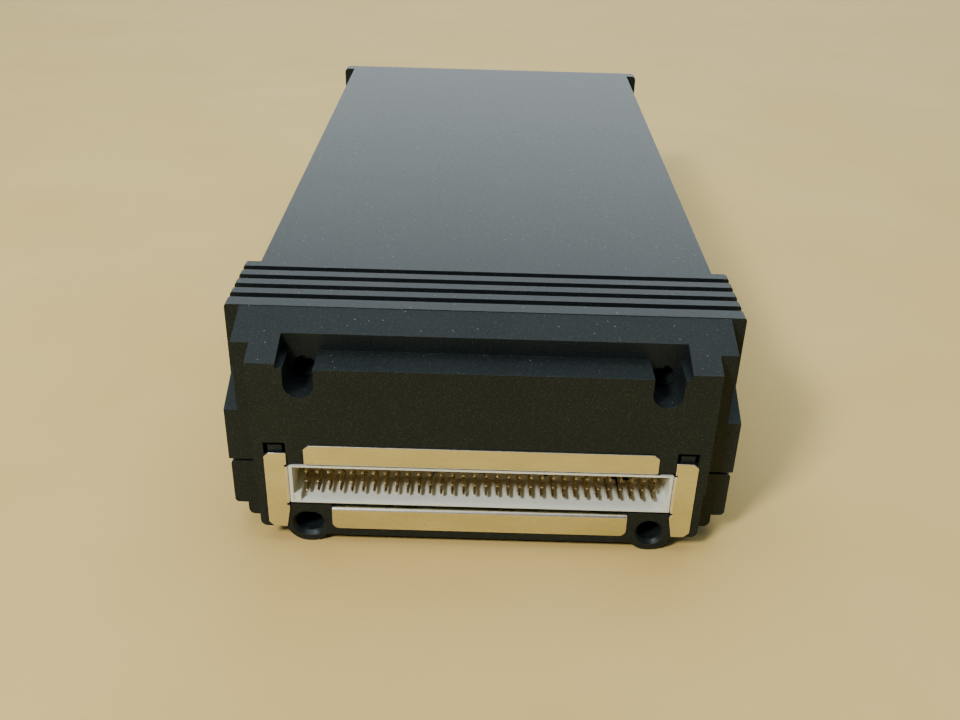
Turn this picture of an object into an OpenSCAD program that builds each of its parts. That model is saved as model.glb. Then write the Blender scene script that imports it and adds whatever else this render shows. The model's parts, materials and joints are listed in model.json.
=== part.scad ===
// Plug-in control module: a flat two-part plastic case with a 96-way rear connector, a front
// bezel with indicators, two captive jack screws and two stacked circuit boards inside.
// X is across the case, +Y runs from the rear connector face to the front bezel, +Z is up.
// The origin is the middle of the box's underside. All sizes are in millimetres.

/* [Case] */
// Distance from the rear face to the back of the front bezel
case_l = 227.5; // [220:0.5:240]
// Width of the case body
body_w = 108.8; // [107.6:0.1:109]
// Width over the collar and its fins
collar_w = 116; // [115:0.1:116]
// Width of the block that carries the rear face
face_w = 101; // [100:0.1:102]
// Height of the flat top
top_z = 52.3; // [52:0.1:54]
// Height of the underside of the body
base_z = 2.8; // [2.4:0.1:3]
// Height of the plane where the two case halves meet
part_z = 16.2; // [16.1:0.05:16.4]
// Thickness of the case walls
wall = 2.5; // [2:0.1:2.6]

/* [Collar] */
// Distance from the rear face to the collar
collar_y = 16.6; // [16:0.1:17]
// Thickness of the collar's first flange
flange_t = 3.8; // [3.5:0.1:4.4]
// Number of grooves behind the flange
groove_count = 4; // [3:1:4]
// Distance from one groove to the next
groove_pitch = 4.87; // [4.6:0.01:5]
// Width of a groove
groove_w = 2.2; // [1.5:0.1:2.2]
// Depth of a groove
groove_d = 2.2; // [1.5:0.1:2.4]

/* [Rear end] */
// Height of the rear face's upper edge
face_top_z = 46.95; // [46:0.05:48]
// Distance from the rear face to the step behind the face block
step_y = 5.7; // [5:0.1:7]
// Width over the side wings
wing_w = 115; // [114:0.1:115.6]
// Width over the lower wings
lower_wing_w = 114.2; // [113:0.1:115]
// Height of the upper wing's underside
wing_z = 18.4; // [18:0.1:19]
// Height of the upper wing's top at the step
wing_top_z = 31.6; // [30:0.1:33]
// Height of the lower wing's underside
lower_wing_z = 6.2; // [5.8:0.1:7]
// Width of the notch across the rear top edge
notch_w = 88.1; // [87.6:0.1:89]
// Depth of the notch and of the screw pockets
notch_d = 8.7; // [8.5:0.1:9.6]
// Height of the notch's floor
notch_z = 45.7; // [45.4:0.1:46]

/* [Guide holes] */
// Distance of each guide hole from the middle
guide_x = 39.05; // [38.8:0.05:39.3]
// Outer radius of the bosses, which the rear end stands on
guide_boss_r = 5.3; // [5.2:0.1:5.4]
// Length of the bosses
guide_boss_l = 12; // [11:0.5:12.5]
// Height of the guide holes' middles
guide_z = 4.95; // [4.9:0.05:5.3]
// Radius of the round guide hole
guide_r = 2.65; // [2.5:0.05:2.8]
// Width of the oblong guide hole
guide_slot_w = 6.35; // [5.8:0.05:6.4]
// Height of the oblong guide hole
guide_slot_h = 5.1; // [4.6:0.1:5.2]
// Depth of both guide holes
guide_depth = 10; // [8:0.5:10.5]

/* [Connector] */
// Distance between neighbouring contacts
pitch = 2.54; // [2.54]
// Number of contact columns
columns = 32; // [16:1:32]
// Number of contact rows
rows = 3; // [1:1:3]
// Height of the lowest contact row
row_z = 12.8; // [12.7:0.05:13.5]
// Width over the shroud
shroud_w = 85.8; // [85.4:0.1:86]
// Underside of the shroud
shroud_z = 10.8; // [10.7:0.1:11]
// Thickness of the shroud's walls
shroud_wall = 0.75; // [0.7:0.05:0.8]
// Height of the shroud
shroud_h = 10.1; // [10:0.1:10.4]
// Depth of the cavity inside the shroud
shroud_d = 9.6; // [9:0.1:10]
// Distance from the rear face to the contact tips
tip_y = 2; // [2:0.1:4]
// Thickness of a contact
contact_t = 0.6; // [0.5:0.05:0.64]

/* [Contact plates] */
// Thickness of the shield contact plates
plate_t = 0.4; // [0.3:0.05:0.5]
// Length of the top plate
top_plate_w = 78.5; // [76:0.5:80]
// Length of the bottom plate
bottom_plate_w = 67.2; // [65:0.1:67.4]
// Distance from the middle to the inner edge of a side plate
side_plate_x = 43.2; // [43.1:0.1:43.4]
// Width of a side plate
side_plate_w = 4.9; // [4.5:0.1:5.2]

/* [Bezel] */
// Width of the bezel
bezel_w = 116; // [115.8:0.1:118]
// Thickness of the bezel's rim
bezel_t = 4.5; // [4:0.1:5]
// Height of the raised panel on the bezel
panel_t = 4; // [3.5:0.1:5]
// Number of indicator windows
indicator_count = 8; // [4:1:8]
// Distance between indicator windows
indicator_pitch = 7; // [6:0.5:7.5]

/* [Jack screws] */
// Distance of each jack screw from the middle
jack_x = 39.4; // [39.2:0.05:39.6]
// Height of the jack screws
jack_z = 41.9; // [41.6:0.1:42.2]
// Radius of the thread at the screw's tip
jack_r = 2; // [1.9:0.05:2]
// Length of the thread
jack_thread_l = 12; // [8:1:14]
// Radius of the thinner shank behind the thread
shank_r = 1.8; // [1.6:0.05:1.9]
// Radius of the bores behind the rear pockets
jack_bore_r = 2.4; // [2.35:0.05:2.5]
// Radius of the rear pockets
pocket_r = 3.3; // [3.3:0.1:3.8]
// How far a screw slides in
jack_travel = 9; // [6:0.5:9]
// Radius of the screw head
jack_head_r = 4.5; // [4:0.1:5]
// Length of the screw head
jack_head_l = 6; // [5:0.5:8]

/* [Boards] */
// Thickness of the circuit boards
board_t = 1.6; // [1.6]
// Top face of the main board
board_z = 10.4; // [10.3:0.05:10.5]
// Width of the main board
board_w = 98; // [96:0.5:99]
// Length of the main board
board_l = 204; // [190:1:206]
// Height of the gap between the two boards
board_gap = 18; // [16:0.5:18]
// Distance of the board fixings from the middle
fixing_x = 33; // [30:0.5:33.5]

/* [Hidden] */
$fn = 48;
eps = 0.05;
screw_play = 0.3;
plastic = "#2b2c2f";
nickel = "#c9c2b4";
steel = "#9ea1a5";
board_green = "#2f6b45";
chip_black = "#1d1e20";

front_y = case_l + bezel_t + panel_t;
head_seat_y = case_l + 2.4;
head_y = head_seat_y + 0.1 + jack_travel;
overall_l = plate_t + head_y + jack_head_l;
rear_y = plate_t - overall_l / 2;
edge_r = 0.35;
last_groove_y = collar_y + flange_t + (groove_count - 1) * groove_pitch + groove_w;
collar_l = last_groove_y - collar_y + groove_pitch - groove_w;
rear_block_w = 109;
inner_w = 103.4;
bay_w = 95.4;
bay_y = 3;
inner_y = 13;
inner_top_z = top_z - wall - 0.2;
collar_inner_z = top_z - groove_d - wall - 0.2;
floor_z = base_z + wall;
opening_w = 86.8;
opening_z = 10.35;
recess_z = 9.3;
recess_d = 1.2;
opening_top_z = 21.7;
spigot_l = 6;
post_x = 47.5;
post_y = [31, 208];
post_r = 3.2;
post_foot_z = board_z - 2.4;
thread_r = 1.5;
fixing_y = [30, 200];
upper_board_z = board_z + board_gap + board_t;
clip_bite = 0.35;
clip_y = case_l - 0.9;
indicator_z = 31;
plate_lip_y = 2.6;
tab_top_z = wing_z - 0.6;
rivet_x = 45;
rivet_y = 15.5;
fuse_y = 190;
stacking_y = 176;
stacking_t = 5.2;
indicator_board_y = 217.5;
heat_sink_z = upper_board_z + 4.6;

function slope_z(y) = face_top_z + (top_z - face_top_z) * y / collar_y;
function column_x(i) = (i - (columns - 1) / 2) * pitch;
function indicator_x(i) = (i - (indicator_count - 1) / 2) * indicator_pitch;
function arc(x, z, r, from, step = 15) =
    [for (i = [0 : 6]) [x + r * cos(from + step * i), z + r * sin(from + step * i)]];

// Puts its children where y = 0 is the rear face
module from_rear() {
    translate([0, rear_y, 0]) children();
}

// Extrudes a Y-Z outline across the case
module across(width, x = 0) {
    translate([x - width / 2, 0, 0]) rotate([90, 0, 90]) linear_extrude(width) children();
}

// Extrudes an X-Z outline from y0 to y1
module along(y0, y1) {
    translate([0, y1, 0]) rotate([90, 0, 0]) linear_extrude(y1 - y0) children();
}

// Outline of a panel with rounded upper and lower corners
module panel(width, z0, z1, top_r = edge_r, bottom_r = edge_r) {
    x = width / 2;
    polygon(concat(arc(x - top_r, z1 - top_r, top_r, 0), arc(top_r - x, z1 - top_r, top_r, 90),
        arc(bottom_r - x, z0 + bottom_r, bottom_r, 180), arc(x - bottom_r, z0 + bottom_r, bottom_r, 270)));
}

// A box given by its middle in x, and its limits in y and z
module block(width, y0, y1, z0, z1, x = 0) {
    translate([x - width / 2, y0, z0]) cube([width, y1 - y0, z1 - z0]);
}

// A cylinder along Y
module rod(x, z, r, y0, y1, r_end = undef) {
    translate([x, y0, z]) rotate([-90, 0, 0]) cylinder(h = y1 - y0, r1 = r, r2 = is_undef(r_end) ? r : r_end);
}

// A cylinder along Z
module post(x, y, r, z0, z1) {
    translate([x, y, z0]) cylinder(h = z1 - z0, r = r);
}

// Flange, fins and the core below their grooves, between two heights
module collar(z0, z1, core_z0, core_z1, top_r, bottom_r) {
    along(collar_y, collar_y + flange_t) panel(collar_w, z0, z1, top_r, bottom_r);
    for (i = [1 : groove_count])
        along(collar_y + flange_t + groove_w + (i - 1) * groove_pitch,
            collar_y + flange_t + i * groove_pitch)
            panel(collar_w, z0, z1, top_r, bottom_r);
    along(collar_y + 1, last_groove_y + 1) panel(collar_w - 2 * groove_d, core_z0, core_z1);
}

module upper_case_outside() {
    along(last_groove_y, case_l) panel(body_w, part_z, top_z);
    collar(part_z, top_z, part_z, top_z - groove_d, 0.7, edge_r);
    across(face_w) polygon([[0, part_z], [0, face_top_z],
        [step_y + 1, slope_z(step_y + 1)], [step_y + 1, part_z]]);
    across(rear_block_w) polygon([[step_y, wing_z], [step_y, slope_z(step_y)],
        [collar_y + 0.5, top_z], [collar_y + 0.5, wing_z]]);
    block(face_w, step_y, collar_y + 0.5, part_z, wing_z + 1);
    across(wing_w) polygon([[step_y, wing_z], [step_y, wing_top_z],
        [collar_y + 0.5, wing_top_z + 5.2], [collar_y + 0.5, wing_z]]);
}

module upper_case_inside() {
    block(inner_w, inner_y, last_groove_y + wall, part_z - 1, collar_inner_z);
    block(inner_w, last_groove_y + wall - 1, case_l + 1, part_z - 1, inner_top_z);
    block(bay_w, bay_y, inner_y + 1, part_z - 1, 34.5);
    block(opening_w, -1, bay_y + 1, part_z - 1, opening_top_z);
}

module screw_pocket(side) {
    rod(side * jack_x, jack_z, pocket_r, -1, notch_d);
    block(2 * pocket_r, -1, notch_d, jack_z, notch_z + 1, side * jack_x);
    rod(side * jack_x, jack_z, jack_bore_r, notch_d - 1, inner_y + 12);
}

// Window above a side plate, with the catch that stands in it left uncut
module catch_window(x) {
    difference() {
        block(side_plate_w, -1, 2.2, 24, 27, x);
        block(3.1, 0.5, 3, 23, 26, x);
    }
}

module upper_case() {
    color(plastic) from_rear() difference() {
        union() {
            difference() {
                upper_case_outside();
                upper_case_inside();
            }
            for (side = [-1, 1]) {
                rod(side * jack_x, jack_z, 5, inner_y - 0.5, inner_y + 8);
                for (y = post_y) {
                    ceiling_z = y > last_groove_y ? inner_top_z : collar_inner_z;
                    post(side * post_x, y, post_r, post_foot_z, ceiling_z + 0.5);
                }
            }
        }
        block(notch_w, -1, notch_d, notch_z, top_z + 1);
        for (side = [-1, 1]) {
            screw_pocket(side);
            catch_window(side * (side_plate_x + side_plate_w / 2));
            for (y = post_y) post(side * post_x, y, thread_r, board_z - 3, board_z + 10);
        }
    }
}

// Chamfered mouth of a guide hole whose straight part is as long as given
module guide_mouth(x, r, straight) {
    mouth = 0.9;
    for (end = [-1, 1]) rod(x + end * straight / 2, guide_z, r + mouth, -eps, mouth, r);
    if (straight > 0)
        across(straight, x) polygon([[-eps, guide_z - r - mouth], [mouth, guide_z - r],
            [mouth, guide_z + r], [-eps, guide_z + r + mouth]]);
}

module guide_holes() {
    slot_r = guide_slot_h / 2;
    straight = guide_slot_w - guide_slot_h;
    rod(guide_x, guide_z, guide_r, -1, guide_depth);
    guide_mouth(guide_x, guide_r, 0);
    for (end = [-1, 1]) rod(-guide_x + end * straight / 2, guide_z, slot_r, -1, guide_depth);
    block(straight, -1, guide_depth, guide_z - slot_r, guide_z + slot_r, -guide_x);
    guide_mouth(-guide_x, slot_r, straight);
}

module lower_case_outside() {
    along(last_groove_y, case_l) panel(body_w, base_z, part_z, edge_r, 1);
    collar(lower_wing_z, part_z, lower_wing_z + 1, part_z, edge_r, 1.2);
    along(step_y, last_groove_y + 1) panel(108.2, base_z, part_z - 1, edge_r, 1.5);
    along(step_y, collar_y + 0.5) panel(lower_wing_w, lower_wing_z, part_z - 0.2, edge_r, 1);
    tab_w = (lower_wing_w - face_w) / 2 - 0.1;
    for (side = [-1, 1])
        along(step_y, collar_y - 0.1) translate([side * (lower_wing_w - tab_w) / 2, 0])
            panel(tab_w, part_z - 2, tab_top_z, 0.8, edge_r);
    along(0, step_y + 1) panel(face_w - 0.8, 4, part_z, edge_r, 1.5);
    block(face_w - 0.8, 1, collar_y + 1, part_z - 1, part_z);
    block(2 * guide_x, 0, guide_boss_l, 1.9, 5);
    for (side = [-1, 1]) rod(side * guide_x, guide_boss_r, guide_boss_r, 0, guide_boss_l);
}

module lower_case() {
    recess_w = bottom_plate_w + 0.2;
    color(plastic) from_rear() difference() {
        union() {
            difference() {
                lower_case_outside();
                block(inner_w, inner_y, case_l + 1, floor_z, part_z + 1);
                block(bay_w, bay_y, inner_y + 1, opening_z, part_z + 1);
                block(opening_w, -1, inner_y + 1, opening_z, part_z + 1);
            }
            for (side = [-1, 1]) {
                for (y = fixing_y) post(side * fixing_x, y, 3, floor_z - 0.5, board_z - board_t);
                for (y = post_y) post(side * post_x, y, 4, floor_z - 0.5, post_foot_z);
            }
        }
        guide_holes();
        block(recess_w, -1, recess_d, recess_z, opening_z + 1);
        across(recess_w) polygon([[-eps, recess_z - 0.75], [0.75, recess_z + eps], [-eps, recess_z + eps]]);
        for (side = [-1, 1]) {
            for (y = fixing_y) post(side * fixing_x, y, thread_r, floor_z - 1, board_z);
            for (y = post_y) {
                post(side * post_x, y, thread_r + 0.2, base_z - 1, board_z);
                post(side * post_x, y, 3, base_z - 1, base_z + 2);
            }
        }
    }
}

module front_bezel() {
    spigot_w = inner_w - 0.3;
    color(plastic) from_rear() difference() {
        union() {
            along(case_l, case_l + bezel_t) panel(bezel_w, 0, top_z, 1.5, 1.5);
            along(case_l + bezel_t - 1, front_y - 1) panel(106, 3, 49.3, 3, 3);
            along(case_l + bezel_t, front_y) panel(104.4, 3.8, 48.5, 2.4, 2.4);
            difference() {
                block(spigot_w, case_l - spigot_l, case_l + 1, floor_z + 0.15, inner_top_z - 0.15);
                block(spigot_w - 4, case_l - spigot_l - 1, case_l + 2, floor_z + 2, inner_top_z - 2);
            }
        }
        for (side = [-1, 1]) {
            rod(side * jack_x, jack_z, jack_r + screw_play, case_l - 1, front_y);
            rod(side * jack_x, jack_z, 5.8, head_seat_y, front_y + 1);
        }
        for (i = [0 : indicator_count - 1])
            rod(indicator_x(i), indicator_z, 1.7, case_l - 1, front_y + 1);
        block(64.4, front_y - 0.8, front_y + 1, 8.8, 23.2);
    }
}

module case_screws() {
    color(steel) from_rear() for (side = [-1, 1], y = post_y) difference() {
        union() {
            post(side * post_x, y, thread_r - 0.05, base_z + 1, board_z + 8);
            post(side * post_x, y, 2.75, base_z + 0.2, base_z + 2);
        }
        translate([side * post_x - 0.4, y - 3, base_z]) cube([0.8, 6, 1.1]);
    }
}

module top_contact_plate() {
    x = top_plate_w / 2;
    top = 26.6;
    chamfer = 1.2;
    bend_r = 0.7;
    lip_z = opening_top_z - plate_t;
    color(nickel) from_rear() {
        along(-plate_t, 0) polygon([[-x, lip_z + bend_r], [x, lip_z + bend_r], [x, top - 1],
            [x - chamfer, top], [chamfer - x, top], [-x, top - 1]]);
        across(top_plate_w) polygon(concat([[0, lip_z + bend_r + 0.1], [-plate_t, lip_z + bend_r + 0.1]],
            arc(bend_r - plate_t, lip_z + bend_r, bend_r, 180),
            [[plate_lip_y, lip_z], [plate_lip_y, opening_top_z], [0, opening_top_z]]));
    }
}

module bottom_contact_plate() {
    x = bottom_plate_w / 2;
    foot = 4.05;
    corner_r = 1.5;
    bend_r = 0.8;
    lip_z = recess_z + plate_t;
    bend_z = lip_z - bend_r;
    color(nickel) from_rear() {
        along(-plate_t, 0) polygon(concat(arc(corner_r - x, foot + corner_r, corner_r, 180),
            arc(x - corner_r, foot + corner_r, corner_r, 270), [[x, bend_z], [-x, bend_z]]));
        across(bottom_plate_w) polygon(concat([[recess_d, recess_z], [recess_d, lip_z]],
            arc(bend_r - plate_t, bend_z, bend_r, 90),
            [[-plate_t, bend_z - 0.1], [0, bend_z - 0.1]],
            arc(bend_r - plate_t, bend_z, bend_r - plate_t, 180, -15)));
    }
}

// Side plate for x > 0: a strip with a lip that turns in beside the shroud
module side_contact_plate() {
    x0 = side_plate_x;
    x1 = side_plate_x + side_plate_w;
    notch_x = x0 + 0.5;
    lip_x = opening_w / 2;
    lip_z0 = 10.8;
    lip_z1 = 20.8;
    bend_r = 0.7;
    bend_x = lip_x - plate_t + bend_r;
    along(-plate_t, 0) polygon([[x0 + 0.8, 4.2], [x1 - 1.2, 4.2], [x1, 5.4], [x1, 23.4], [x1 - 1.1, 24.5],
        [x0, 24.5], [x0, lip_z1 + 0.6], [notch_x, lip_z1 + 0.6], [notch_x, lip_z0 - 0.6],
        [x0, lip_z0 - 0.6], [x0 - 0.1, 9.5]]);
    translate([0, 0, lip_z0]) linear_extrude(lip_z1 - lip_z0) polygon(concat(
        arc(bend_x, bend_r - plate_t, bend_r, 180),
        [[bend_x + 0.1, -plate_t], [bend_x + 0.1, 0], [lip_x, 0], [lip_x, plate_lip_y],
            [lip_x - plate_t, plate_lip_y]]));
}

module left_contact_plate() {
    color(nickel) from_rear() mirror([1, 0, 0]) side_contact_plate();
}

module right_contact_plate() {
    color(nickel) from_rear() side_contact_plate();
}

// The shroud's cavity, with a raised key at each end of its floor and thinned lips at its mouth
module shroud_cavity() {
    inside_w = shroud_w - 2 * shroud_wall;
    floor_top = shroud_z + shroud_wall;
    ceiling = shroud_z + shroud_h - shroud_wall;
    key_w = 1.6;
    difference() {
        block(inside_w, -1, shroud_d, floor_top, ceiling);
        for (side = [-1, 1])
            block(key_w + 1, 0.3, shroud_d + 1, shroud_z, shroud_z + 2.4, side * (inside_w - key_w + 1) / 2);
    }
    across(inside_w - 2 * key_w)
        polygon([[-eps, floor_top - 0.45], [1.3, floor_top + eps], [-eps, floor_top + eps]]);
    across(inside_w) polygon([[-eps, ceiling - eps], [0.7, ceiling - eps], [-eps, ceiling + 0.4]]);
}

module connector_housing() {
    back_y = 13;
    foot_x = 43.6;
    hole_t = contact_t + 0.04;
    color("#d6d5cd") from_rear() difference() {
        union() {
            block(shroud_w, 0.1, back_y, shroud_z, shroud_z + shroud_h);
            for (side = [-1, 1]) block(7.4, back_y - 1, back_y + 5, board_z, 13.5, side * foot_x);
        }
        shroud_cavity();
        for (i = [0 : columns - 1], row = [0 : rows - 1])
            block(hole_t, shroud_d - 1, back_y + 1, row_z + row * pitch - hole_t / 2,
                row_z + row * pitch + hole_t / 2, column_x(i));
        for (i = [0 : columns - 2], row = [0 : rows - 2])
            block(1, shroud_d - 1, shroud_d + 3, row_z + row * pitch + 0.5,
                row_z + row * pitch + 1.8, column_x(i) + pitch / 2);
        for (side = [-1, 1]) post(side * rivet_x, rivet_y, 1.35, board_z - 1, 14);
    }
}

// One angled contact: tip, shank and the leg that goes down through the board
module contact(row) {
    z = row_z + row * pitch;
    t = contact_t / 2;
    leg_y = 15.5 + row * pitch;
    leg_z = board_z - 3;
    across(contact_t) polygon([[tip_y, z - t / 2], [tip_y + 0.9, z - t], [leg_y - t, z - t],
        [leg_y - t, leg_z], [leg_y + t, leg_z], [leg_y + t, z + t],
        [tip_y + 0.9, z + t], [tip_y, z + t / 2]]);
}

module connector_contacts() {
    color("#b8924a") from_rear() for (i = [0 : columns - 1], row = [0 : rows - 1])
        translate([column_x(i), 0, 0]) contact(row);
}

module connector_rivets() {
    color(steel) from_rear() for (side = [-1, 1]) {
        post(side * rivet_x, rivet_y, 1.3, board_z - board_t - 0.8, 13.6);
        post(side * rivet_x, rivet_y, 2, 13.5, 14.3);
        post(side * rivet_x, rivet_y, 2, board_z - board_t - 0.9, board_z - board_t);
    }
}

// Threaded tip, thinner shank with a groove for the retaining clip, and a slotted head
module jack_screw(side) {
    groove_y = clip_y - 0.1;
    x = side * jack_x;
    tip = notch_d + 5;
    end_y = head_y + jack_head_l;
    color(steel) from_rear() difference() {
        union() {
            rod(x, jack_z, jack_r - 0.5, tip, tip + 0.5, jack_r);
            rod(x, jack_z, jack_r, tip + 0.5, tip + jack_thread_l);
            rod(x, jack_z, shank_r, tip + 1, groove_y);
            rod(x, jack_z, shank_r - clip_bite, groove_y - 0.1, groove_y + 1.1);
            rod(x, jack_z, shank_r, groove_y + 1, head_y + 0.1);
            rod(x, jack_z, jack_head_r, head_y, end_y - 0.5);
            rod(x, jack_z, jack_head_r, end_y - 0.5, end_y, jack_head_r - 0.5);
        }
        block(2 * jack_head_r + 1, end_y - 1.6, end_y + 1, jack_z - 0.6, jack_z + 0.6, x);
    }
}

module left_jack_screw() {
    jack_screw(-1);
}

module right_jack_screw() {
    jack_screw(1);
}

// Open ring that sits in the screw's groove, behind the bezel
module retaining_clip(side) {
    x = side * jack_x;
    color(steel) from_rear() difference() {
        rod(x, jack_z, 3.8, clip_y, clip_y + 0.8);
        rod(x, jack_z, shank_r - clip_bite + 0.05, clip_y - 1, clip_y + 2);
        block(2.2, clip_y - 1, clip_y + 2, jack_z - 6, jack_z, x);
    }
}

module left_retaining_clip() {
    retaining_clip(-1);
}

module right_retaining_clip() {
    retaining_clip(1);
}

module main_board() {
    color(board_green) from_rear() difference() {
        block(board_w, inner_y + 0.3, inner_y + board_l, board_z - board_t, board_z);
        for (i = [0 : columns - 1], row = [0 : rows - 1])
            post(column_x(i), 15.5 + row * pitch, 0.45, board_z - board_t - 1, board_z + 1, $fn = 24);
        for (side = [-1, 1]) {
            post(side * rivet_x, rivet_y, 1.35, board_z - board_t - 1, board_z + 1);
            for (y = post_y) post(side * post_x, y, 4.4, board_z - board_t - 1, board_z + 1);
            for (y = fixing_y) post(side * fixing_x, y, 1.7, board_z - board_t - 1, board_z + 1);
        }
    }
}

// Hexagonal spacers with a stud below and a threaded hole above
module board_spacers() {
    color("#c9a85a") from_rear() for (side = [-1, 1], y = fixing_y) difference() {
        union() {
            translate([side * fixing_x, y, board_z]) cylinder(h = board_gap, r = 3.1, $fn = 6);
            post(side * fixing_x, y, thread_r - 0.05, board_z - 4, board_z + 1);
        }
        post(side * fixing_x, y, thread_r, board_z + board_gap - 8, board_z + board_gap + 1);
    }
}

module upper_board() {
    color(board_green) from_rear() difference() {
        block(86, 24, 206, upper_board_z - board_t, upper_board_z);
        for (side = [-1, 1], y = fixing_y)
            post(side * fixing_x, y, 1.7, upper_board_z - board_t - 1, upper_board_z + 1);
    }
}

module upper_board_screws() {
    color(steel) from_rear() for (side = [-1, 1], y = fixing_y) difference() {
        union() {
            post(side * fixing_x, y, thread_r - 0.05, upper_board_z - 7, upper_board_z + 1);
            post(side * fixing_x, y, 2.75, upper_board_z, upper_board_z + 2);
        }
        translate([side * fixing_x - 3, y - 0.4, upper_board_z + 1]) cube([6, 0.8, 2]);
    }
}

module stacking_socket() {
    color(chip_black) from_rear() block(54, stacking_y, stacking_y + stacking_t, board_z, board_z + 10);
}

module stacking_header() {
    color(chip_black) from_rear()
        block(54, stacking_y, stacking_y + stacking_t, board_z + 10, board_z + board_gap);
}

// A flat chip with a row of feet along its two long sides
module chip(x, y, size_x, size_y, height, feet) {
    translate([x, y, board_z + 0.15]) {
        translate([-size_x / 2, -size_y / 2, 0]) cube([size_x, size_y, height]);
        for (side = [-1, 1], i = [0 : feet - 1])
            translate([side * (size_x / 2 + 0.4) - 0.5, (i - (feet - 1) / 2) * 1.27 - 0.2, -0.15])
                cube([1, 0.4, height / 2]);
    }
}

module processor() {
    color(chip_black) from_rear() chip(0, 140, 27, 27, 3.4, 20);
}

module memory_chips() {
    color(chip_black) from_rear() for (x = [-30, 30]) chip(x, 140, 9, 20, 2.4, 14);
}

module driver_chips() {
    color(chip_black) from_rear() for (i = [0 : 5]) chip(-35 + 14 * i, 48, 7.5, 13, 2.4, 10);
}

module power_converter() {
    color("#3a3d42") from_rear() block(52, 80, 112, board_z, board_z + 11);
}

module choke_core() {
    color("#555248") from_rear() translate([38, 94, board_z + 4])
        rotate_extrude() translate([6.5, 0]) circle(3.6);
}

module capacitors() {
    color("#39455c") from_rear() for (i = [0 : 3]) {
        post(-26 + 16 * i, 60, 5, upper_board_z, upper_board_z + 12);
        post(-26 + 16 * i, 60, 4.6, upper_board_z + 11.5, upper_board_z + 12.5);
    }
}

module relays() {
    color("#d8d6cc") from_rear() for (i = [0 : 5])
        translate([-40 + 13.6 * i, 96, upper_board_z]) cube([10, 20, 9.2]);
}

module fuse() {
    color("#cfd6d8") from_rear() translate([-12, fuse_y, upper_board_z + 4.2])
        rotate([0, 90, 0]) cylinder(h = 20, r = 2.5);
}

module fuse_clips() {
    color(nickel) from_rear() for (x = [-10, 4]) difference() {
        translate([x, fuse_y - 4, upper_board_z]) cube([4, 8, 6]);
        translate([x - 1, fuse_y, upper_board_z + 4.2]) rotate([0, 90, 0]) cylinder(h = 6, r = 2.55);
        translate([x - 1, fuse_y - 2, upper_board_z + 4.2]) cube([6, 4, 3]);
    }
}

module heat_sink() {
    color("#a9adb0") from_rear() {
        block(60, 142, 166, heat_sink_z, heat_sink_z + 2);
        for (i = [0 : 9]) block(1.5, 142, 166, heat_sink_z + 1.9, heat_sink_z + 8.4, -27 + 6 * i);
    }
}

module regulators() {
    color(chip_black) from_rear() for (x = [-18, 0, 18])
        block(10, 146, 161, upper_board_z, heat_sink_z, x);
}

module indicator_board() {
    color(board_green) from_rear() block(80, indicator_board_y, indicator_board_y + board_t, 14, 36.5);
}

module indicator_socket() {
    back_y = indicator_board_y - 6.5;
    color(chip_black) from_rear() {
        block(40, back_y, back_y + 5.5, board_z, board_z + 8);
        block(40, back_y + 5, indicator_board_y, board_z + 4.5, board_z + 8);
    }
}

module indicator_lamps() {
    color("#b9c8b0") from_rear() for (i = [0 : indicator_count - 1])
        rod(indicator_x(i), indicator_z, 1.4, indicator_board_y + board_t, indicator_board_y + 4.1);
}

module light_pipes() {
    color("#cfe0c8") from_rear() for (i = [0 : indicator_count - 1]) {
        rod(indicator_x(i), indicator_z, 1.65, indicator_board_y + 4.5, front_y + 0.2);
        rod(indicator_x(i), indicator_z, 2.3, case_l - 3.5, case_l);
    }
}

module label_plate() {
    color("#b7b9bb") from_rear() along(front_y - 0.8, front_y - 0.1) panel(64, 9, 23, 1, 1);
}

upper_case();
lower_case();
front_bezel();
case_screws();
top_contact_plate();
bottom_contact_plate();
left_contact_plate();
right_contact_plate();
connector_housing();
connector_contacts();
connector_rivets();
left_jack_screw();
right_jack_screw();
left_retaining_clip();
right_retaining_clip();
main_board();
board_spacers();
upper_board();
upper_board_screws();
stacking_socket();
stacking_header();
processor();
memory_chips();
driver_chips();
power_converter();
choke_core();
capacitors();
relays();
fuse();
fuse_clips();
heat_sink();
regulators();
indicator_board();
indicator_socket();
indicator_lamps();
light_pipes();
label_plate();
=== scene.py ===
"""Looks of the plug-in control module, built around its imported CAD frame."""

import json
import math

import bmesh
import bpy
from mathutils import Matrix, Vector


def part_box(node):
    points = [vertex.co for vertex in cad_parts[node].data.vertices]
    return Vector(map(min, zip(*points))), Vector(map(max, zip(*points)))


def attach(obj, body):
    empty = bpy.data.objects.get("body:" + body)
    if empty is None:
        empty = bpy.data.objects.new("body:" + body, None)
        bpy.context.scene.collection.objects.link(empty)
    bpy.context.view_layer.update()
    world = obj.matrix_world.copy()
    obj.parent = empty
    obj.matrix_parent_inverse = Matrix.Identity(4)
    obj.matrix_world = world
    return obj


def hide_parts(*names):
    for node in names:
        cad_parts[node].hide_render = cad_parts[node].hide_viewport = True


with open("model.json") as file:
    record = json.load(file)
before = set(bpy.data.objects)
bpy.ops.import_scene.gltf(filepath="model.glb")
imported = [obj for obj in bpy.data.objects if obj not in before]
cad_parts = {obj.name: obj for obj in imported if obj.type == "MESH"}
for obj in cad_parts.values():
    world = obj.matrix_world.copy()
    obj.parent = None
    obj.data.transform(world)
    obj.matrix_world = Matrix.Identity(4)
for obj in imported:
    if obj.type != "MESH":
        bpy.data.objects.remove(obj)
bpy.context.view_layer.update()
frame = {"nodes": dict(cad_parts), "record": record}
MM = 0.001

# ---------------------------------------------------------------- places taken from the frame
REAR_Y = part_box("lower_case")[0].y

# ---------------------------------------------------------------- camera
LENS = 38.65
CAMERA_BEHIND = 0.187
CAMERA_HEIGHT = 0.1553
CAMERA_X = -0.0009
CAMERA_TILT = math.radians(60.45)
CAMERA_ROLL = math.radians(1.63)


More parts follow.
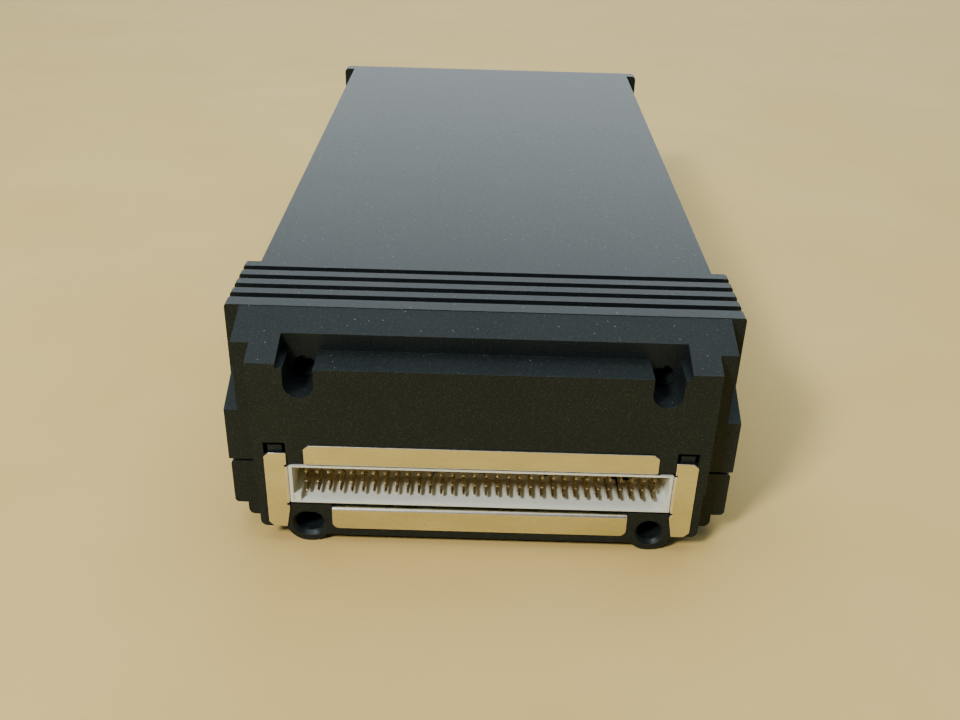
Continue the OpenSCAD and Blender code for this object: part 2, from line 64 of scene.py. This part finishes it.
def make_camera():
    data = bpy.data.cameras.new("camera")
    data.lens = LENS
    data.sensor_width = 36
    data.clip_start = 0.01
    camera = bpy.data.objects.new("camera", data)
    bpy.context.scene.collection.objects.link(camera)
    place = Matrix.Translation((CAMERA_X, REAR_Y - CAMERA_BEHIND, CAMERA_HEIGHT))
    camera.matrix_world = place @ Matrix.Rotation(CAMERA_TILT, 4, "X") @ Matrix.Rotation(CAMERA_ROLL, 4, "Z")
    bpy.context.scene.camera = camera


# ---------------------------------------------------------------- stage
FLOOR_HALF_WIDTH = 3.0
FLOOR_COLOUR = (0.80, 0.57, 0.18)
FLOOR_PALE_COLOUR = (0.85, 0.62, 0.22)

SKY_COLOUR = (0.75, 0.94, 1.0)
# Strength of the sky along each axis of the view direction: from, to, strength at each
SKY_STRENGTH = {"Y": (-0.4, 0.95, 0.10, 1.25), "Z": (0.1, 0.5, 1.3, 0.34)}

# Area lights: name, place, target, width and height, watts, colour
LIGHTS = (
    ("key", (-0.56, -0.79, 0.83), (0, -0.06, 0.03), (0.22, 0.22), 12, (1.0, 0.97, 0.92)),
    ("back_fill", (0.1, 1.2, 0.42), (0, 0, 0.03), (1.6, 0.4), 6, (0.93, 0.97, 1.0)),
    ("overhead", (0, 0.15, 1.0), (0, 0, 0.03), (1.2, 1.0), 7, (0.95, 0.98, 1.0)),
)


def make_world():
    """Bright low down behind the module, dimmer overhead and dark on the camera's side."""
    world = bpy.data.worlds.new("studio")
    bpy.context.scene.world = world
    world.use_nodes = True
    nodes, links = world.node_tree.nodes, world.node_tree.links
    nodes.clear()
    direction = nodes.new("ShaderNodeTexCoord")
    split = nodes.new("ShaderNodeSeparateXYZ")
    links.new(direction.outputs["Generated"], split.inputs[0])
    ramps = []
    for axis, ends in SKY_STRENGTH.items():
        ramp = nodes.new("ShaderNodeMapRange")
        for name, number in zip(("From Min", "From Max", "To Min", "To Max"), ends):
            ramp.inputs[name].default_value = number
        links.new(split.outputs[axis], ramp.inputs["Value"])
        ramps.append(ramp)
    strength = nodes.new("ShaderNodeMath")
    strength.operation = "MULTIPLY"
    for i, ramp in enumerate(ramps):
        links.new(ramp.outputs[0], strength.inputs[i])
    background = nodes.new("ShaderNodeBackground")
    background.inputs["Color"].default_value = (*SKY_COLOUR, 1)
    out = nodes.new("ShaderNodeOutputWorld")
    links.new(strength.outputs[0], background.inputs["Strength"])
    links.new(background.outputs[0], out.inputs[0])


def add_area_light(name, place, target, size, watts, colour):
    data = bpy.data.lights.new(name, "AREA")
    data.shape = "RECTANGLE"
    data.size, data.size_y = size
    data.energy = watts
    data.color = colour
    light = bpy.data.objects.new(name, data)
    bpy.context.scene.collection.objects.link(light)
    aim = (Vector(target) - Vector(place)).to_track_quat("-Z", "Y")
    light.matrix_world = Matrix.Translation(place) @ aim.to_matrix().to_4x4()


def make_floor():
    mesh = bpy.data.meshes.new("floor")
    half = FLOOR_HALF_WIDTH
    corners = [(-half, -half, 0), (half, -half, 0), (half, half, 0), (-half, half, 0)]
    mesh.from_pydata(corners, [], [(0, 1, 2, 3)])
    floor = bpy.data.objects.new("floor", mesh)
    bpy.context.scene.collection.objects.link(floor)
    look = Look("floor_paper", FLOOR_COLOUR, roughness=0.75)
    look.vary(FLOOR_COLOUR, FLOOR_PALE_COLOUR, scale=14, detail=5)
    look.bump([(900, 0.05)], distance=0.0002)
    mesh.materials.append(look.material)


# ---------------------------------------------------------------- materials
class Look:
    """A Principled material with procedural colour, roughness and bump in object space."""

    def __init__(self, name, colour, roughness=0.5, metallic=0.0, specular=0.5):
        self.material = bpy.data.materials.new(name)
        self.material.use_nodes = True
        tree = self.material.node_tree
        self.nodes, self.links = tree.nodes, tree.links
        self.shader = self.nodes["Principled BSDF"]
        self.shader.inputs["Base Color"].default_value = (*colour, 1)
        self.shader.inputs["Roughness"].default_value = roughness
        self.shader.inputs["Metallic"].default_value = metallic
        self.shader.inputs["Specular IOR Level"].default_value = specular
        self.coords = self.nodes.new("ShaderNodeTexCoord").outputs["Object"]

    def noise(self, scale, detail=2.0, stretch=None):
        where = self.coords
        if stretch:
            mapping = self.nodes.new("ShaderNodeMapping")
            mapping.inputs["Scale"].default_value = stretch
            self.links.new(where, mapping.inputs["Vector"])
            where = mapping.outputs[0]
        node = self.nodes.new("ShaderNodeTexNoise")
        node.inputs["Scale"].default_value = scale
        node.inputs["Detail"].default_value = detail
        self.links.new(where, node.inputs["Vector"])
        return node.outputs["Fac"]

    def remap(self, value, low, high, to_low, to_high):
        node = self.nodes.new("ShaderNodeMapRange")
        for name, number in (("From Min", low), ("From Max", high), ("To Min", to_low), ("To Max", to_high)):
            node.inputs[name].default_value = number
        self.links.new(value, node.inputs["Value"])
        return node.outputs[0]

    def mix(self, factor, a, b):
        """Mixes two colours, each a socket or a tuple, by a socket."""
        node = self.nodes.new("ShaderNodeMix")
        node.data_type = "RGBA"
        self.links.new(factor, node.inputs[0])
        for socket, value in ((node.inputs[6], a), (node.inputs[7], b)):
            if isinstance(value, tuple):
                socket.default_value = (*value, 1)
            else:
                self.links.new(value, socket)
        return node.outputs[2]

    def times(self, a, b):
        node = self.nodes.new("ShaderNodeMath")
        node.operation = "MULTIPLY"
        self.links.new(a, node.inputs[0])
        self.links.new(b, node.inputs[1])
        return node.outputs[0]

    def upward(self, low, high, to_low, to_high):
        """A factor that grows as the surface turns to face up."""
        geometry = self.nodes.new("ShaderNodeNewGeometry")
        split = self.nodes.new("ShaderNodeSeparateXYZ")
        self.links.new(geometry.outputs["Normal"], split.inputs[0])
        return self.remap(split.outputs["Z"], low, high, to_low, to_high)

    def along_y(self, start, end):
        """A factor that grows from 0 to 1 between two places along the module."""
        split = self.nodes.new("ShaderNodeSeparateXYZ")
        self.links.new(self.coords, split.inputs[0])
        return self.remap(split.outputs["Y"], start, end, 0, 1)

    def colour(self, socket):
        self.links.new(socket, self.shader.inputs["Base Color"])

    def vary(self, a, b, scale, detail=2.0, stretch=None):
        value = self.remap(self.noise(scale, detail, stretch=stretch), 0.3, 0.7, 0, 1)
        socket = self.mix(value, a, b)
        self.colour(socket)
        return socket

    def vary_roughness(self, low, high, scale, detail=3.0, stretch=None):
        value = self.noise(scale, detail, stretch=stretch)
        self.links.new(self.remap(value, 0.3, 0.7, low, high), self.shader.inputs["Roughness"])

    def bump(self, layers, distance=0.0001, stretch=None):
        normal = None
        for scale, strength in layers:
            node = self.nodes.new("ShaderNodeBump")
            node.inputs["Strength"].default_value = strength
            node.inputs["Distance"].default_value = distance
            self.links.new(self.noise(scale, 2.0, stretch=stretch), node.inputs["Height"])
            if normal:
                self.links.new(normal, node.inputs["Normal"])
            normal = node.outputs[0]
        self.links.new(normal, self.shader.inputs["Normal"])


def dust(look, base, speck, scale, share, size):
    """Scattered fine specks over a base colour, mostly on faces that look up."""
    cells = look.nodes.new("ShaderNodeTexVoronoi")
    cells.inputs["Scale"].default_value = scale
    look.links.new(look.coords, cells.inputs["Vector"])
    near = look.remap(cells.outputs["Distance"], size, size + 0.06, 1, 0)
    pick = look.nodes.new("ShaderNodeSeparateColor")
    look.links.new(cells.outputs["Color"], pick.inputs[0])
    chosen = look.remap(pick.outputs[0], 1 - share, 1 - share + 0.02, 0, 1)
    amount = look.times(look.times(near, chosen), look.upward(0.2, 0.8, 0.12, 1))
    return look.mix(amount, base, speck)


def case_plastic():
    look = Look("case_plastic", (0.018, 0.020, 0.019), roughness=0.42, specular=0.24)
    look.shader.inputs["Specular Tint"].default_value = (0.80, 0.97, 1.0, 1)
    clouds = look.remap(look.noise(60, 3), 0.3, 0.7, 0, 1)
    base = look.mix(clouds, (0.0088, 0.0128, 0.0138), (0.0115, 0.0158, 0.0168))
    grains = look.remap(look.noise(3600, 1), 0.58, 0.78, 0, 1)
    grain = look.mix(grains, base, (0.050, 0.054, 0.053))
    fine = dust(look, grain, (0.22, 0.23, 0.22), scale=1300, share=0.05, size=0.14)
    look.colour(dust(look, fine, (0.45, 0.45, 0.42), scale=420, share=0.010, size=0.07))
    look.vary_roughness(0.40, 0.45, 900)
    look.bump([(2600, 0.28)], distance=0.00007)
    return look.material


def edge_plastic():
    look = Look("case_plastic_edge", (0.08, 0.08, 0.08), roughness=0.40, specular=0.5)
    look.vary((0.05, 0.054, 0.052), (0.17, 0.175, 0.17), scale=500, detail=4)
    look.bump([(1800, 0.12)], distance=0.00005)
    return look.material


def plate_metal():
    look = Look("plate_metal", (0.74, 0.67, 0.50), roughness=0.28, metallic=1)
    base = look.vary((0.62, 0.60, 0.40), (0.74, 0.72, 0.53), scale=160, detail=6, stretch=(0.4, 1, 1))
    stains = look.remap(look.noise(2600, 2), 0.64, 0.76, 0, 0.5)
    look.colour(look.mix(stains, base, (0.40, 0.35, 0.25)))
    look.vary_roughness(0.22, 0.34, 420, 4, stretch=(0.2, 1, 1))
    look.bump([(1500, 0.10), (90, 0.10)], distance=0.00005, stretch=(0.1, 1, 1))
    return look.material


# Painted highlight: near-white metal on the plates' rounded edges and bends, standing in for their bright
# reflection
def plate_edge_highlight():
    look = Look("plate_metal_edge", (0.93, 0.90, 0.84), roughness=0.34, metallic=1)
    look.vary((0.88, 0.84, 0.76), (0.97, 0.95, 0.91), scale=700, detail=3)
    look.bump([(1500, 0.06)], distance=0.00003)
    return look.material


def connector_plastic():
    look = Look("connector_plastic", (0.72, 0.75, 0.73), roughness=0.22, specular=0.6)
    white = look.vary((0.77, 0.83, 0.78), (0.84, 0.90, 0.85), scale=140, detail=4)
    # Painted shade: the white turns darker and browner deeper inside the shroud, where the roof and contacts
    # shade it
    painted_shade_inside = look.along_y(REAR_Y + 3.5 * MM, REAR_Y + 8.5 * MM)
    look.colour(look.mix(painted_shade_inside, white, (0.66, 0.60, 0.44)))
    look.vary_roughness(0.16, 0.28, 300)
    look.bump([(900, 0.05)], distance=0.00004)
    return look.material


def moulded(name, a, b, roughness):
    look = Look(name, a, roughness=roughness)
    look.vary(a, b, scale=120, detail=4)
    look.vary_roughness(roughness - 0.06, roughness + 0.06, 300)
    look.bump([(1400, 0.15)], distance=0.00006)
    return look.material


def worn_metal(name, a, b, roughness, scale=600):
    look = Look(name, a, roughness=roughness, metallic=1)
    look.vary(a, b, scale=scale, detail=4)
    look.vary_roughness(roughness - 0.08, roughness + 0.08, scale * 2)
    look.bump([(scale * 3, 0.12)], distance=0.00004)
    return look.material


def board_laminate():
    look = Look("board_laminate", (0.03, 0.16, 0.07), roughness=0.35)
    tracks = look.nodes.new("ShaderNodeTexBrick")
    tracks.inputs["Scale"].default_value = 180
    tracks.inputs["Mortar Size"].default_value = 0.09
    look.links.new(look.coords, tracks.inputs["Vector"])
    look.colour(look.mix(tracks.outputs["Fac"], (0.03, 0.15, 0.07), (0.07, 0.27, 0.12)))
    look.bump([(500, 0.1)], distance=0.00005)
    return look.material


def lens_plastic():
    look = Look("lamp_lens", (0.55, 0.68, 0.52), roughness=0.2)
    look.vary((0.48, 0.62, 0.45), (0.62, 0.74, 0.58), scale=900)
    look.shader.inputs["Transmission Weight"].default_value = 0.35
    look.bump([(1200, 0.05)], distance=0.00005)
    return look.material


def fuse_glass():
    look = Look("fuse_glass", (0.9, 0.93, 0.93), roughness=0.08)
    look.vary((0.86, 0.9, 0.9), (0.95, 0.97, 0.97), scale=300)
    look.shader.inputs["Transmission Weight"].default_value = 0.9
    return look.material


def make_materials():
    return {
        "case_plastic": case_plastic(),
        "screw_steel": worn_metal("screw_steel", (0.52, 0.53, 0.55), (0.66, 0.67, 0.69), 0.34),
        "spring_steel": worn_metal("spring_steel", (0.18, 0.18, 0.19), (0.27, 0.27, 0.28), 0.4),
        "plate_metal": plate_metal(),
        "connector_plastic": connector_plastic(),
        "contact_metal": worn_metal("contact_metal", (0.42, 0.34, 0.20), (0.66, 0.56, 0.36), 0.32, 900),
        "board_laminate": board_laminate(),
        "spacer_brass": worn_metal("spacer_brass", (0.62, 0.46, 0.20), (0.74, 0.56, 0.28), 0.3),
        "chip_plastic": moulded("chip_plastic", (0.018, 0.018, 0.02), (0.028, 0.028, 0.03), 0.55),
        "converter_case": moulded("converter_case", (0.05, 0.055, 0.065), (0.07, 0.075, 0.085), 0.45),
        "ferrite": moulded("ferrite", (0.07, 0.065, 0.055), (0.11, 0.10, 0.09), 0.5),
        "capacitor_sleeve": moulded("capacitor_sleeve", (0.03, 0.05, 0.11), (0.045, 0.07, 0.14), 0.3),
        "relay_plastic": moulded("relay_plastic", (0.62, 0.61, 0.56), (0.70, 0.69, 0.64), 0.45),
        "fuse_glass": fuse_glass(),
        "heat_sink_metal": worn_metal("heat_sink_metal", (0.55, 0.56, 0.57), (0.68, 0.69, 0.70), 0.38),
        "lamp_lens": lens_plastic(),
        "label_plastic": moulded("label_plastic", (0.40, 0.41, 0.42), (0.46, 0.47, 0.48), 0.5),
    }


def paint_cad_nodes(materials):
    slots = {s["node"]: s["material_slot"] for s in frame["record"]["subparts"]}
    for name, obj in frame["nodes"].items():
        obj.data.materials.clear()
        obj.data.materials.append(materials[slots[name]])
    return slots


# ---------------------------------------------------------------- softened copies of the sharp CAD shells
FLAT_ANGLE = math.radians(0.3)
EDGE_ANGLE = math.radians(32)
# A face whose normal has no part this long lies across the axes, as the faces of a bend do
STRAIGHT = 0.98
CASE_EDGE = 0.28 * MM
PLATE_EDGE = 0.1 * MM
CONNECTOR_EDGE = 0.09 * MM
LABEL_EDGE = 0.15 * MM


def softened(node, width, material, edge_material, bends=False):
    """A copy of a CAD node whose sharp edges are rounded in the edge material; if asked, its bend faces take
    the edge material too, which on the plates is a painted highlight.
    """
    mesh = bpy.data.meshes.new(node + "_skin")
    shape = bmesh.new()
    shape.from_mesh(frame["nodes"][node].data)
    bmesh.ops.remove_doubles(shape, verts=shape.verts, dist=2e-6)
    bmesh.ops.dissolve_limit(shape, angle_limit=FLAT_ANGLE, verts=shape.verts, edges=shape.edges)
    if bends:
        # Bend faces take the edge material: on the plates this paints a highlight along each bend
        for face in shape.faces:
            face.material_index = int(max(abs(part) for part in face.normal) < STRAIGHT)
    shape.to_mesh(mesh)
    shape.free()
    mesh.materials.append(material)
    mesh.materials.append(edge_material)
    mesh.shade_smooth()
    piece = bpy.data.objects.new(node + "_skin", mesh)
    bpy.context.scene.collection.objects.link(piece)
    bevel = piece.modifiers.new("edge", "BEVEL")
    bevel.width = width
    bevel.segments = 2
    bevel.limit_method = "ANGLE"
    bevel.angle_limit = EDGE_ANGLE
    bevel.use_clamp_overlap = True
    bevel.miter_outer = "MITER_ARC"
    bevel.material = 1
    weights = piece.modifiers.new("flat faces", "WEIGHTED_NORMAL")
    weights.mode = "FACE_AREA"
    weights.weight = 90
    bpy.context.view_layer.update()
    ready = piece.evaluated_get(bpy.context.evaluated_depsgraph_get())
    final = bpy.data.meshes.new_from_object(ready)
    piece.modifiers.clear()
    piece.data = final
    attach(piece, body_of[node])
    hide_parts(node)


# ---------------------------------------------------------------- jack screws
KNURL_TEETH = 36
KNURL_DEPTH = 0.3 * MM
HEAD_R = 4.5 * MM
HEAD_L = 6.0 * MM
SLOT_DEPTH = 1.6 * MM
SLOT_HALF = 0.6 * MM
THREAD_R = 2.0 * MM
THREAD_L = 12.0 * MM
THREAD_PITCH = 0.7 * MM
SHANK_R = 1.8 * MM
GROOVE_R = 1.45 * MM
GROOVE_PLAY = 0.1 * MM
THREAD_DEPTH = 0.42 * MM
THREAD_STATIONS = 170
SHANK_POINTS = 40
HEAD_POINTS = KNURL_TEETH * 4
SHARP_ANGLE = math.radians(28)
# The thread starts at this share of its radius and grows to the full one over this length
TIP_SHARE = 0.75
TIP_L = 0.5 * MM
# How far the slotted halves and the shank reach into the head, so that no gap shows
HALF_OVERLAP = 0.01 * MM
SHANK_OVERLAP = 0.1 * MM


def loft(name, parts, material):
    """A mesh of closed skins, each a list of rings with the same number of points."""
    points, faces = [], []
    for rings in parts:
        start, count = len(points), len(rings[0])
        for ring in rings:
            points.extend(ring)
        for row in range(len(rings) - 1):
            low = start + row * count
            for i in range(count):
                j = (i + 1) % count
                faces.append((low + i, low + j, low + count + j, low + count + i))
        faces.append(tuple(start + i for i in reversed(range(count))))
        faces.append(tuple(start + (len(rings) - 1) * count + i for i in range(count)))
    mesh = bpy.data.meshes.new(name)
    mesh.from_pydata(points, [], faces)
    shape = bmesh.new()
    shape.from_mesh(mesh)
    bmesh.ops.recalc_face_normals(shape, faces=shape.faces)
    shape.to_mesh(mesh)
    shape.free()
    mesh.materials.append(material)
    mesh.shade_smooth()
    mesh.set_sharp_from_angle(angle=SHARP_ANGLE)
    piece = bpy.data.objects.new(name, mesh)
    bpy.context.scene.collection.objects.link(piece)
    return piece


def knurl_radius(turn, depth):
    wave = (turn * KNURL_TEETH) % 1.0
    return HEAD_R - depth * abs(2 * wave - 1)


def round_ring(x, y, z, radius_at, count):
    ring = []
    for i in range(count):
        turn = i / count
        angle = 2 * math.pi * turn
        ring.append((x + radius_at(turn) * math.cos(angle), y, z + radius_at(turn) * math.sin(angle)))
    return ring


def half_ring(x, y, z, side, radius_at, count):
    """One half of a slotted disc's outline, above or below the slot."""
    edge = math.asin(SLOT_HALF / HEAD_R)
    ring = []
    for i in range(count + 1):
        angle = edge + (math.pi - 2 * edge) * i / count
        radius = radius_at(angle / (2 * math.pi))
        ring.append((x + radius * math.cos(angle), y, z + side * max(radius * math.sin(angle), SLOT_HALF)))
    return ring


def head_levels(back, front):
    """Lengthwise stations of the head: place, radius taken off, and knurl depth."""
    return [(back, 0.3 * MM, 0), (back + 0.3 * MM, 0, 0), (back + 0.9 * MM, 0, 0),
            (back + 0.95 * MM, 0, KNURL_DEPTH), (front - 0.7 * MM, 0, KNURL_DEPTH),
            (front - 0.6 * MM, 0.1 * MM, 0), (front - 0.5 * MM, 0.1 * MM, 0), (front, 0.6 * MM, 0)]


def shank_levels(start, end, clip):
    """Lengthwise stations of the shank, with the groove that its retaining clip sits in."""
    clip_low, clip_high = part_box(clip)
    groove_start, groove_end = clip_low.y - GROOVE_PLAY, clip_high.y + GROOVE_PLAY
    return [(start, SHANK_R), (groove_start, SHANK_R), (groove_start, GROOVE_R),
            (groove_end, GROOVE_R), (groove_end, SHANK_R), (end, SHANK_R)]


def jack_screw(node, clip, material):
    """Knurled and slotted head, grooved shank and a real helical thread at the tip."""
    low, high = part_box(node)
    x, z = (low.x + high.x) / 2, (low.z + high.z) / 2
    head_back, slot_y = high.y - HEAD_L, high.y - SLOT_DEPTH
    half_count = HEAD_POINTS // 2

    def outline(cut, depth):
        return lambda turn: knurl_radius(turn, depth) - cut

    levels = head_levels(head_back, high.y)
    body = [round_ring(x, y, z, outline(cut, depth), HEAD_POINTS) for y, cut, depth in levels if y < slot_y]
    body.append(round_ring(x, slot_y, z, outline(0, KNURL_DEPTH), HEAD_POINTS))
    parts = [body]
    for side in (-1, 1):
        half = [half_ring(x, slot_y - HALF_OVERLAP, z, side, outline(0, KNURL_DEPTH), half_count)]
        half += [half_ring(x, y, z, side, outline(cut, depth), half_count)
                 for y, cut, depth in levels if y > slot_y]
        parts.append(half)
    stations = shank_levels(low.y + THREAD_L, head_back + SHANK_OVERLAP, clip)
    parts.append([round_ring(x, y, z, lambda turn, r=r: r, SHANK_POINTS) for y, r in stations])
    thread = []
    for i in range(THREAD_STATIONS + 1):
        y = low.y + THREAD_L * i / THREAD_STATIONS
        taper = min(1.0, TIP_SHARE + (1 - TIP_SHARE) * (y - low.y) / TIP_L)

        def radius(turn, y=y, taper=taper):
            wave = ((y - low.y) / THREAD_PITCH + turn) % 1.0
            return (THREAD_R - THREAD_DEPTH * abs(2 * wave - 1)) * taper
        thread.append(round_ring(x, y, z, radius, SHANK_POINTS))
    parts.append(thread)
    piece = loft(node + "_turned", parts, material)
    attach(piece, body_of[node])
    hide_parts(node)


# ---------------------------------------------------------------- build
make_camera()
make_world()
for light in LIGHTS:
    add_area_light(*light)
make_floor()
materials = make_materials()
slots = paint_cad_nodes(materials)
body_of = {node: body for body, nodes in frame["record"]["behaviour"]["bodies"].items() for node in nodes}
case_edge = edge_plastic()
metal_highlight = plate_edge_highlight()
for node in ("upper_case", "lower_case", "front_bezel"):
    softened(node, CASE_EDGE, materials["case_plastic"], case_edge)
for place in ("top", "bottom", "left", "right"):
    # The plates' edges and bends take the painted highlight metal
    softened(place + "_contact_plate", PLATE_EDGE, materials["plate_metal"], metal_highlight, bends=True)
for node, edge in (("connector_housing", CONNECTOR_EDGE), ("connector_contacts", CONNECTOR_EDGE),
                   ("label_plate", LABEL_EDGE)):
    softened(node, edge, materials[slots[node]], materials[slots[node]])
for side in ("left", "right"):
    jack_screw(side + "_jack_screw", side + "_retaining_clip", materials["screw_steel"])
